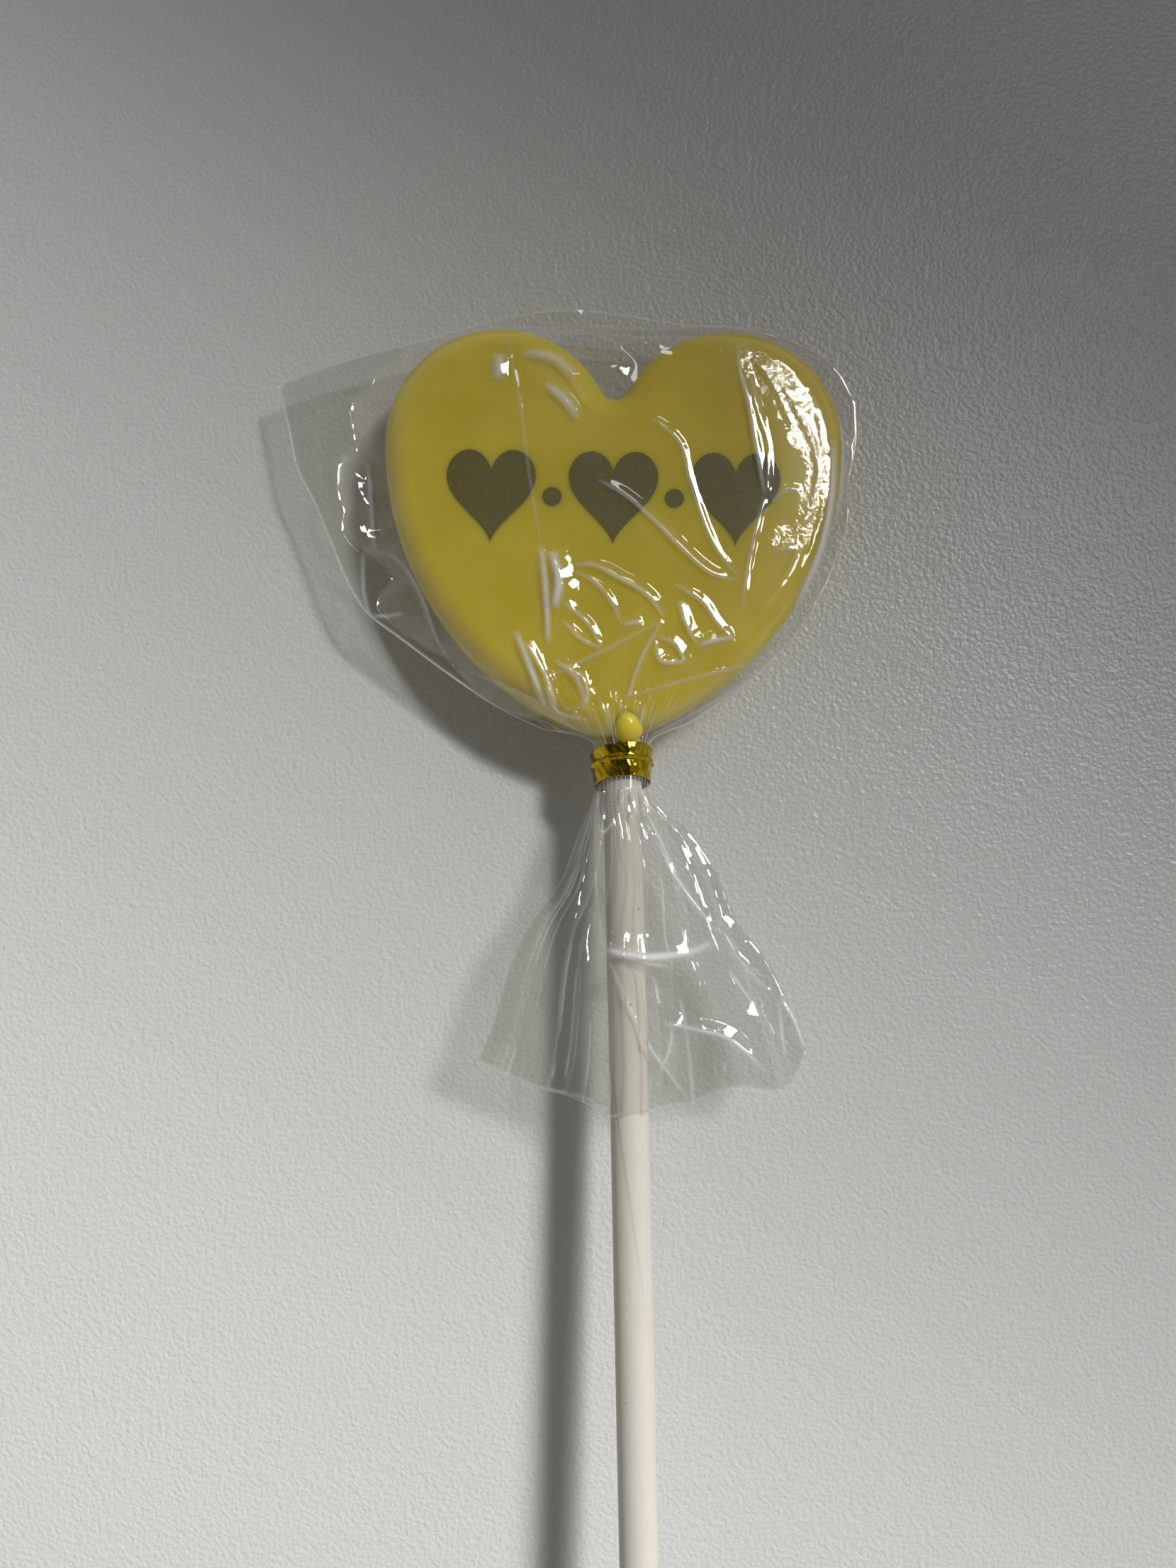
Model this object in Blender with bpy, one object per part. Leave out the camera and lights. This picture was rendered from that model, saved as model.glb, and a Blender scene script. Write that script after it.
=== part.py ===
"""Heart-shaped candy lollipop in a clear bag, tied on its paper stick, lying on its back.

The stick's axis runs along Y and the heart is at its +Y end. The origin is on the floor
under the middle of the heart, so the flat back of the candy lies in the plane Z = 0.
Sizes below are in millimetres and become metres where the meshes are made.
"""
import math

import bmesh
import bpy
import numpy as np
from mathutils import Matrix

MM = 0.001
GAP = 0.3

# The heart's outline, from arcs alone, in its own axes: +Y to the notch
LOBE_RADIUS = 13.3
LOBE_Y = 10.4
FLANK_RADIUS = 36.3
FLANK_X = 2 * LOBE_RADIUS - FLANK_RADIUS
NOTCH_RADIUS = 1.6
TIP_RADIUS = 2.4
HALF_HEIGHT = 5.0
MID_Z = HALF_HEIGHT

# The heart's edge: a low upright wall with an oval rounding above and below it, and a slightly crowned front
RIM_WIDTH = 3.4
RIM_RISE = 3.0
WALL = HALF_HEIGHT - RIM_RISE
CROWN = 0.4
CROWN_WIDTH = 7.0
CROWN_SHARES = (0.25, 0.5, 0.75, 1.0)
HEART_X = -0.6
HEART_TURN = math.radians(-2.0)
RIM_STEPS = 7

# The drop of candy that stands on the tip where the stick goes in
DROP_CENTRE = (0.5, -22.6, 7.4)
DROP_RADII = (2.0, 2.3, 2.6)

# The paper stick
STICK_RADIUS = 2.25
STICK_TOP = 6.0
STICK_LENGTH = 150.0

# The bag's outline: its top edge, its two sides down to the tie, and those from the tie to the hem
TOP_EDGE = ((-39.8, 18.9), (-33.9, 21.0), (-25.2, 23.3), (-18.6, 24.8), (-13.0, 25.6), (-5.4, 26.0),
            (0.4, 25.8), (7.8, 25.2), (15.1, 24.7), (21.4, 22.9), (26.7, 19.2), (28.6, 15.4))
LEFT_SIDE = ((-39.8, 18.9), (-38.6, 13.3), (-37.5, 8.3), (-35.8, 4.9), (-34.3, 1.2), (-29.2, -9.0),
             (-25.9, -11.6), (-19.4, -16.6), (-14.5, -20.0), (-9.6, -22.5), (-3.1, -25.0))
RIGHT_SIDE = ((28.6, 15.4), (28.5, 10.3), (27.4, 5.3), (27.2, 0.6), (25.9, -3.0), (24.6, -6.0),
              (22.7, -9.5), (17.2, -15.8), (12.4, -19.6), (8.3, -22.2), (3.1, -25.0))
SKIRT_LEFT = ((-3.0, -30.4), (-5.3, -35.2), (-7.9, -41.3), (-10.6, -44.7), (-13.0, -49.2),
              (-15.9, -57.7), (-17.3, -60.8))
SKIRT_RIGHT = ((3.2, -30.4), (7.4, -34.6), (10.1, -38.6), (13.3, -46.0), (16.6, -50.6),
               (19.0, -56.1), (20.5, -60.5))
UPPER_ROWS = 18
NECK_SHARES = (0.2, 0.5, 0.8)
SKIRT_ROWS = 13
NECK_Y = -25.0
NECK_LENGTH = 5.4
HEM_ARCH = 5.4
HEM_WAVE = 0.9
FILM_COVER = -0.3
FILM_EDGE = 0.3
NECK_TOP_RADIUS = 3.05
NECK_FOOT_RADIUS = 2.85
SKIRT_RISE = 2.9
SKIRT_SPREAD = 4.5
PLEATS = 5
PLEAT_DEPTH = 1.1
COLUMNS = 32

# The metallised band round the neck: its rims slope, as it is wound on aslant
TIE_Y = -27.6
TIE_HEIGHT = 3.7
TIE_TOP_RADIUS = 3.35
TIE_FOOT_RADIUS = 3.15
TIE_WALL = 0.22
TIE_FLARE = 0.15
TIE_RIDGE = 0.28
TIE_RIDGE_AT = 0.58
TIE_SLOPE_UP = 0.29
TIE_SLOPE_ACROSS = 0.06


def arc(centre, radius, start, end, steps):
    """Points along an arc, without its last one, by angles in degrees."""
    angles = np.radians(np.linspace(start, end, steps, endpoint=False))
    return np.column_stack((centre[0] + radius * np.cos(angles), centre[1] + radius * np.sin(angles)))


def heart_outline(grow):
    """The heart's outline moved out by grow: the same arcs, with each radius longer or shorter."""
    tip = max(TIP_RADIUS + grow, 0.05)
    flank = FLANK_RADIUS + grow
    tip_y = LOBE_Y - math.sqrt((flank - tip) ** 2 - FLANK_X ** 2)
    notch_y = LOBE_Y + math.sqrt((LOBE_RADIUS + NOTCH_RADIUS) ** 2 - LOBE_RADIUS ** 2)
    tip_angle = math.degrees(math.atan2(tip_y - LOBE_Y, -FLANK_X))
    notch_angle = math.degrees(math.atan2(notch_y - LOBE_Y, LOBE_RADIUS))
    right = np.vstack((
        arc((0, tip_y), tip, -90, tip_angle, 3),
        arc((FLANK_X, LOBE_Y), flank, tip_angle, 0, 12),
        arc((LOBE_RADIUS, LOBE_Y), LOBE_RADIUS + grow, 0, 180 - notch_angle, 16),
        arc((0, notch_y), NOTCH_RADIUS - grow, -notch_angle, -90, 3),
        [(0, notch_y - NOTCH_RADIUS + grow)],
    ))
    left = right[-2:0:-1] * (-1, 1)
    loop = np.vstack((right, left))
    turn, shift = HEART_TURN, HEART_X
    x = shift + loop[:, 0] * math.cos(turn) - loop[:, 1] * math.sin(turn)
    y = loop[:, 0] * math.sin(turn) + loop[:, 1] * math.cos(turn)
    return np.column_stack((x, y))


def inside_distance(x, y):
    """How far a point lies inside the heart's outline: an arc's radius less the way to its centre."""
    turn = -HEART_TURN
    x, y = x - HEART_X, y
    x, y = x * math.cos(turn) - y * math.sin(turn), x * math.sin(turn) + y * math.cos(turn)
    x = np.abs(x)
    tip_y = LOBE_Y - math.sqrt((FLANK_RADIUS - TIP_RADIUS) ** 2 - FLANK_X ** 2)
    notch_y = LOBE_Y + math.sqrt((LOBE_RADIUS + NOTCH_RADIUS) ** 2 - LOBE_RADIUS ** 2)
    flank = FLANK_RADIUS - np.hypot(x - FLANK_X, y - LOBE_Y)
    lobe = LOBE_RADIUS - np.hypot(x - LOBE_RADIUS, y - LOBE_Y)
    notch = np.hypot(x, y - notch_y) - NOTCH_RADIUS
    tip = TIP_RADIUS - np.hypot(x, y - tip_y)
    in_tip = (y < tip_y) & (x * (LOBE_Y - tip_y) < -FLANK_X * (tip_y - y))
    in_lobe = (y > LOBE_Y) & (y > notch_y - x * (notch_y - LOBE_Y) / LOBE_RADIUS)
    return np.where(in_lobe, lobe, np.minimum(np.where(in_tip, tip, flank), notch))


def through(points, count):
    """Evenly spaced points on a smooth curve through the given ones, by Hermite pieces."""
    points = np.array(points, dtype=float)
    along = np.concatenate(([0.0], np.cumsum(np.hypot(*np.diff(points, axis=0).T))))
    slopes = np.gradient(points, along, axis=0)
    at = np.linspace(0, along[-1], count)
    piece = np.clip(np.searchsorted(along, at, side="right") - 1, 0, len(points) - 2)
    span = (along[piece + 1] - along[piece])[:, None]
    t = (at[:, None] - along[piece][:, None]) / span
    return ((2 * t ** 3 - 3 * t ** 2 + 1) * points[piece] + (t ** 3 - 2 * t ** 2 + t) * span * slopes[piece]
            + (3 * t ** 2 - 2 * t ** 3) * points[piece + 1] + (t ** 3 - t ** 2) * span * slopes[piece + 1])


def loft(name, loops, ends="flat"):
    """A closed body through loops of equally many points.

    Its ends are one flat face each, a strip across a sheet's thin edge, or joined to each other.
    """
    mesh = bmesh.new()
    rings = [[mesh.verts.new(point) for point in np.asarray(loop) * MM] for loop in loops]
    pairs = list(zip(rings, rings[1:]))
    if ends == "joined":
        pairs.append((rings[-1], rings[0]))
    for ring in (rings[0], rings[-1]):
        if ends == "flat":
            mesh.faces.new(ring)
        elif ends == "strip":
            for i in range(len(ring) // 2 - 1):
                mesh.faces.new((ring[i], ring[i + 1], ring[-2 - i], ring[-1 - i]))
    for one, other in pairs:
        for i in range(len(one)):
            j = (i + 1) % len(one)
            mesh.faces.new((one[i], one[j], other[j], other[i]))
    bmesh.ops.recalc_face_normals(mesh, faces=mesh.faces)
    data = bpy.data.meshes.new(name)
    mesh.to_mesh(data)
    mesh.free()
    return bpy.data.objects.new(name, data)


def heart_body(name, grow):
    """The heart: its outline stacked round the lower and upper edge, then inwards up the crown."""
    steps = []
    for angle in np.linspace(0, math.pi / 2, RIM_STEPS):
        inward = (RIM_WIDTH + grow) * math.cos(angle) - RIM_WIDTH
        rise = (RIM_RISE + grow) * math.sin(angle)
        steps.insert(0, (inward, -WALL - rise))
        steps.append((inward, WALL - CROWN + rise))
    for share in CROWN_SHARES:
        steps.append((-RIM_WIDTH - share * CROWN_WIDTH, HALF_HEIGHT + grow - CROWN * (1 - share) ** 2))
    loops = []
    for inward, height in steps:
        outline = heart_outline(inward)
        loops.append(np.column_stack((outline, np.full(len(outline), MID_Z + height))))
    return loft(name, loops)


def drop_body(name, grow):
    """The rounded drop, a stretched ball."""
    mesh = bmesh.new()
    bmesh.ops.create_uvsphere(mesh, u_segments=20, v_segments=12, radius=1.0)
    radii = [(radius + grow) * MM for radius in DROP_RADII]
    bmesh.ops.scale(mesh, vec=radii, verts=mesh.verts)
    bmesh.ops.translate(mesh, vec=[value * MM for value in DROP_CENTRE], verts=mesh.verts)
    data = bpy.data.meshes.new(name)
    mesh.to_mesh(data)
    mesh.free()
    return bpy.data.objects.new(name, data)


def stick_body(name, radius, top, length):
    """A round bar along Y, from top down."""
    mesh = bmesh.new()
    bmesh.ops.create_cone(mesh, cap_ends=True, segments=32, radius1=radius * MM, radius2=radius * MM,
                          depth=length * MM)
    bmesh.ops.rotate(mesh, verts=mesh.verts, matrix=Matrix.Rotation(math.pi / 2, 3, "X"))
    bmesh.ops.translate(mesh, vec=(0, (top - length / 2) * MM, MID_Z * MM), verts=mesh.verts)
    data = bpy.data.meshes.new(name)
    mesh.to_mesh(data)
    mesh.free()
    return bpy.data.objects.new(name, data)


def film_rise(x, y, margin):
    """How far the taut film stands off the mid-plane round the candy's rounded edge.

    It runs straight from the bag's edge until it touches the edge's oval, and follows that
    oval up to the front. Widths are drawn in to make the oval a circle, whose centre stands
    as high as the wall. margin is the way to the bag's edge.
    """
    radius = RIM_RISE + FILM_COVER
    centre = WALL - CROWN
    depth = inside_distance(x, y) * RIM_RISE / RIM_WIDTH
    margin = np.maximum(margin, 0) * RIM_RISE / RIM_WIDTH
    width = np.maximum(margin - depth, 0.1) + RIM_RISE
    angle = np.arctan2(centre, width) + np.arcsin(radius / np.hypot(width, centre))
    reach = RIM_RISE - np.minimum(depth, RIM_RISE)
    on_circle = centre + np.sqrt(np.maximum(radius ** 2 - reach ** 2, 0))
    straight = np.minimum(margin * np.tan(angle), centre + radius)
    return np.where(margin > width - radius * np.sin(angle), on_circle, straight)


def top_edge_rise(share):
    """How far the bag's top edge stands above the straight line between its corners."""
    edge = through(TOP_EDGE, 60)
    along = (edge[:, 0] - edge[0, 0]) / (edge[-1, 0] - edge[0, 0])
    return np.interp(share, along, edge[:, 1] - edge[0, 1] - along * (edge[-1, 1] - edge[0, 1]))


def bag_rows():
    """Left end, right end, arch, hem sag, neck radius, pleat share and way down, for each cross row."""
    rows = []
    for k, (left, right) in enumerate(zip(through(LEFT_SIDE, UPPER_ROWS), through(RIGHT_SIDE, UPPER_ROWS))):
        way = k / (UPPER_ROWS - 1)
        rows.append((left, right, (1 - way) ** 3, 0.0, NECK_TOP_RADIUS, 0.0, way))
    for way in NECK_SHARES:
        radius = NECK_TOP_RADIUS + (NECK_FOOT_RADIUS - NECK_TOP_RADIUS) * way
        y = NECK_Y - NECK_LENGTH * way
        rows.append((np.array((-radius, y)), np.array((radius, y)), 0.0, 0.0, radius, 0.0, 1.0))
    for k, (left, right) in enumerate(zip(through(SKIRT_LEFT, SKIRT_ROWS), through(SKIRT_RIGHT, SKIRT_ROWS))):
        way = k / (SKIRT_ROWS - 1)
        rows.append((left, right, 0.0, HEM_ARCH * way ** 2, NECK_FOOT_RADIUS, way, 1.0))
    return rows


def bag_outline():
    """The bag's outline as short stretches, to measure the way to its edge."""
    return [through(LEFT_SIDE, UPPER_ROWS), through(TOP_EDGE, 40), through(RIGHT_SIDE, UPPER_ROWS)]


def edge_distance(x, y):
    """The way from each point to the nearest stretch of the bag's outline."""
    points = np.column_stack((np.ravel(x), np.ravel(y)))
    best = np.full(len(points), 1e9)
    for line in bag_outline():
        start, run = line[:-1], np.diff(line, axis=0)
        offset = points[:, None] - start[None]
        share = np.clip((offset * run).sum(2) / (run ** 2).sum(1), 0, 1)
        best = np.minimum(best, np.hypot(*(offset - share[..., None] * run).transpose(2, 0, 1)).min(1))
    return best.reshape(np.shape(x))


def bag_body(name):
    """The bag's outer form: flat round the candy, drawn in to a neck at the tie, open fan below."""
    share = (1 - np.cos(np.linspace(0, math.pi, COLUMNS + 1))) / 2
    bow = np.sin(np.linspace(0, math.pi, COLUMNS + 1))
    loops = []
    for left, right, arch, sag, neck, skirt, way in bag_rows():
        x = left[0] + (right[0] - left[0]) * share
        y = left[1] + (right[1] - left[1]) * share + arch * top_edge_rise(share) - sag * bow
        y += HEM_WAVE * skirt ** 2 * np.sin(5 * math.pi * share)
        half = (right[0] - left[0]) / 2
        if skirt > 0:
            tent = FILM_EDGE + SKIRT_RISE * np.exp(-(x / SKIRT_SPREAD) ** 2) * bow ** 0.3
            round_part = neck * bow
            early = max(0.0, 1 - skirt * 6)
            rise = round_part * early + tent * (1 - early)
            lift = PLEAT_DEPTH * min(1, 1.5 * skirt) * np.sin(2 * PLEATS * math.pi * share)
            lift = lift * np.clip((np.abs(x) - 2.5) / 4, 0, 1)
        else:
            gather = neck * bow ** max(1.0, half / neck) if half > neck else neck * bow
            rise = np.maximum(film_rise(x, y, edge_distance(x, y)), gather) if way < 1 else gather
            rise = np.maximum(rise, FILM_EDGE)
            lift = np.zeros_like(x)
        upper = np.column_stack((x, y, MID_Z + lift + rise))
        lower = np.column_stack((x, y, MID_Z + lift - rise))
        loops.append(np.vstack((upper, lower[::-1])))
    return loft(name, loops, ends="strip")


def tie_body(name):
    """The band: a thin flared wall with a ridge round it, carried round the neck aslant."""
    steps = np.linspace(0, 1, 9)
    ridge = TIE_RIDGE * np.exp(-((steps - TIE_RIDGE_AT) / 0.08) ** 2)
    flare = TIE_FLARE * steps ** 4
    inner = TIE_FOOT_RADIUS + (TIE_TOP_RADIUS - TIE_FOOT_RADIUS) * steps
    outer = inner + TIE_WALL + ridge + flare
    radius = np.concatenate((outer, inner[::-1]))
    along = np.concatenate((steps, steps[::-1])) * TIE_HEIGHT - TIE_HEIGHT / 2
    loops = []
    for angle in np.linspace(0, 2 * math.pi, 40, endpoint=False):
        x = radius * math.cos(angle)
        z = radius * math.sin(angle)
        y = TIE_Y + along + TIE_SLOPE_UP * z + TIE_SLOPE_ACROSS * x
        loops.append(np.column_stack((x, y, MID_Z + z)))
    return loft(name, loops, ends="joined")


def cut(thing, cutter, operation="DIFFERENCE"):
    """Joins or cuts with another body, exactly."""
    modifier = thing.modifiers.new(cutter.name, "BOOLEAN")
    modifier.operation = operation
    modifier.object = cutter


def material(name, colour, roughness, metallic=0.0, alpha=1.0):
    """One plain finish."""
    made = bpy.data.materials.new(name)
    made.use_nodes = True
    shader = made.node_tree.nodes["Principled BSDF"]
    shader.inputs["Base Color"].default_value = (*colour, 1.0)
    shader.inputs["Roughness"].default_value = roughness
    shader.inputs["Metallic"].default_value = metallic
    shader.inputs["Alpha"].default_value = alpha
    return made


def finish(thing, collection, look):
    """Puts a piece in the part's collection, in its finish and smooth where it is round."""
    collection.objects.link(thing)
    thing.data.materials.append(look)
    thing.data.shade_smooth()
    thing.data.set_sharp_from_angle(angle=math.radians(40))


def main():
    for thing in list(bpy.data.objects):
        bpy.data.objects.remove(thing)
    part = bpy.data.collections.new("lollipop")
    cutters = bpy.data.collections.new("cutters")
    bpy.context.scene.collection.children.link(part)
    bpy.context.scene.collection.children.link(cutters)

    drop = drop_body("drop", 0.0)
    bore = stick_body("bore", STICK_RADIUS + GAP, STICK_TOP + GAP, STICK_LENGTH + 2 * GAP)
    heart_room = heart_body("heart_room", GAP)
    drop_room = drop_body("drop_room", GAP)
    for cutter in (drop, bore, heart_room, drop_room):
        cutters.objects.link(cutter)
        cutter.hide_render = True
        cutter.display_type = "WIRE"

    candy = heart_body("candy", 0.0)
    cut(candy, drop, "UNION")
    cut(candy, bore)
    finish(candy, part, material("moulded candy", (0.62, 0.50, 0.07), 0.4))

    bag = bag_body("bag")
    for cutter in (heart_room, drop_room, bore):
        cut(bag, cutter)
    finish(bag, part, material("clear film", (0.85, 0.85, 0.85), 0.1, alpha=0.4))

    tie = tie_body("tie")
    finish(tie, part, material("metallised band", (0.75, 0.55, 0.08), 0.2, metallic=1.0))

    stick = stick_body("stick", STICK_RADIUS, STICK_TOP, STICK_LENGTH)
    finish(stick, part, material("rolled paper", (0.85, 0.83, 0.78), 0.7))


main()
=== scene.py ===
import math

import bmesh
import bpy
import numpy as np
from bpy.props import FloatProperty, FloatVectorProperty, IntProperty, PointerProperty
from mathutils import Matrix, Vector


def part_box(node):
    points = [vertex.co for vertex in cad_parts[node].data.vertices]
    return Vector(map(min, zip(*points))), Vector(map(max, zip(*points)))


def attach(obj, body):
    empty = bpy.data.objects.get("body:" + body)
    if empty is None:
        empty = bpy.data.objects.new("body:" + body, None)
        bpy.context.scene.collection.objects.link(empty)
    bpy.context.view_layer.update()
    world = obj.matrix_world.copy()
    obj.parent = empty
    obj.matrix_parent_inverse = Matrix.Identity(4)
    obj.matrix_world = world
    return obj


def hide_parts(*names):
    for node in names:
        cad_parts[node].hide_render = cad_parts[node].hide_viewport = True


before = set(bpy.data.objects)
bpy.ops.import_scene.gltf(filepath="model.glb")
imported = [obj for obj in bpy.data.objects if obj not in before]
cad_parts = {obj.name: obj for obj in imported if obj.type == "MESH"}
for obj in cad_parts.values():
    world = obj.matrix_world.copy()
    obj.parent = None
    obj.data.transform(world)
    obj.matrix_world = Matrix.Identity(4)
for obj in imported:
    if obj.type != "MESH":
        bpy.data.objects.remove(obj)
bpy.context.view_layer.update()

bl_info = {
    "name": "Candy lollipop",
    "version": (1, 0, 0),
    "blender": (4, 5, 0),
    "location": "View3D > Sidebar > Lollipop",
    "description": "Builds the finished surfaces of a wrapped heart lollipop",
    "category": "Object",
}

# Lengths below are in millimetres, in the frame's own axes, and become metres in the meshes
MM = 0.001

# The heart's outline, from arcs alone, in its own axes with +Y to the notch
LOBE_RADIUS = 13.3
LOBE_Y = 10.4
FLANK_RADIUS = 36.3
FLANK_X = 2 * LOBE_RADIUS - FLANK_RADIUS
NOTCH_RADIUS = 1.6
TIP_RADIUS = 2.4
HEART_X = -0.6
HEART_TURN = math.radians(-2.0)
DROP_CENTRE = (0.5, -22.6, 7.4)
DROP_RADII = (2.0, 2.3, 2.6)

# The heart's edge: a low upright wall, an oval rounding above and below it, and a crowned front
HALF_HEIGHT = 5.0
RIM_WIDTH = 3.4
RIM_RISE = 3.0
WALL = HALF_HEIGHT - RIM_RISE
CROWN = 0.4
CROWN_WIDTH = 7.0


def box_mm(node):
    """Lowest and highest corner of a node, in millimetres."""
    low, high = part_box(node)
    return np.array(low) / MM, np.array(high) / MM


STICK_LOW, STICK_HIGH = box_mm("stick")
STICK_RADIUS = (STICK_HIGH[0] - STICK_LOW[0]) / 2
MID_Z = (STICK_HIGH[2] + STICK_LOW[2]) / 2
TIE_LOW, TIE_HIGH = box_mm("tie")

# The bag's outline: its top edge, its two sides down to the tie, and those from the tie to the hem
TOP_EDGE = ((-39.8, 18.9), (-33.9, 21.0), (-25.2, 23.3), (-18.6, 24.8), (-13.0, 25.6), (-5.4, 26.0),
            (0.4, 25.8), (7.8, 25.2), (15.1, 24.7), (21.4, 22.9), (26.7, 19.2), (28.6, 15.4))
LEFT_SIDE = ((-39.8, 18.9), (-38.6, 13.3), (-37.5, 8.3), (-35.8, 4.9), (-34.3, 1.2), (-29.2, -9.0),
             (-25.9, -11.6), (-19.4, -16.6), (-14.5, -20.0), (-9.6, -22.5), (-3.1, -25.0), (-2.9, -27.6))
RIGHT_SIDE = ((28.6, 15.4), (28.5, 10.3), (27.4, 5.3), (27.2, 0.6), (25.9, -3.0), (24.6, -6.0),
              (22.7, -9.5), (17.2, -15.8), (12.4, -19.6), (8.3, -22.2), (3.1, -25.0), (2.9, -27.6))
SKIRT_LEFT = ((-3.1, -27.6), (-3.4, -30.4), (-5.3, -35.2), (-7.9, -41.3), (-10.6, -44.7), (-13.0, -49.2),
              (-15.9, -57.7), (-17.3, -60.8))
SKIRT_RIGHT = ((3.1, -27.6), (3.3, -30.4), (7.4, -34.6), (10.1, -38.6), (13.3, -46.0), (16.6, -50.6),
               (19.0, -56.1), (20.5, -60.5))
HEM = ((-17.3, -60.8), (-11.5, -63.6), (-5.6, -65.4), (-2.2, -67.0), (3.0, -66.3), (6.9, -66.1),
       (10.0, -64.9), (13.2, -64.3), (16.4, -64.9), (18.4, -64.4), (20.5, -60.5))

# The gathered film's radius at the neck, the room that the gold band leaves it, and how far the
# band reaches up and down from its middle
NECK_RADIUS = 2.95
BAND_ROOM = 3.08
BAND_REACH = 2.5
BAND_MIDDLE = (TIE_LOW[1] + TIE_HIGH[1]) / 2
# The place on the stick that the bag's fine gathers fan out from
GATHER_Y = -31.0
# Further out than this from the heart the bag's two sheets lie together, with a fold of this
# radius at the bag's edge
FLAP_OPENING = 5.5
FOLD_RADIUS = 0.13
# The film's room over the candy, and how far it may sag below the candy's back
FILM_ROOM = 0.12
BACK_SAG = 0.1
# The floor passes just below the heart's back at the lobes' ends, and falls away from there
# towards the stick
FLOOR_PIVOT = 24.0
FLOOR_GAP = -0.16
# Colour of the specks in the stick's paper, as linear red, green and blue
FLECK = (0.33, 0.27, 0.2)
# Half-width of the white line along a sharp fold of the film, partly the film's own whitening
# # and partly painted highlight, and the length of a pressed ridge's flank beside its height
LINE_WIDTH = 0.2
FLANK_LENGTH = 3.2

# Where the film clings to the candy, along the right lobe's shoulder, and half that band's width
CLINGING = ((15.5, 18.6), (18.5, 16.4), (20.6, 13.0), (22.2, 9.6), (22.9, 6.2), (22.2, 2.4),
            (20.8, -0.6), (18.6, -2.2))
CLINGING_WIDTH = 1.3

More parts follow.
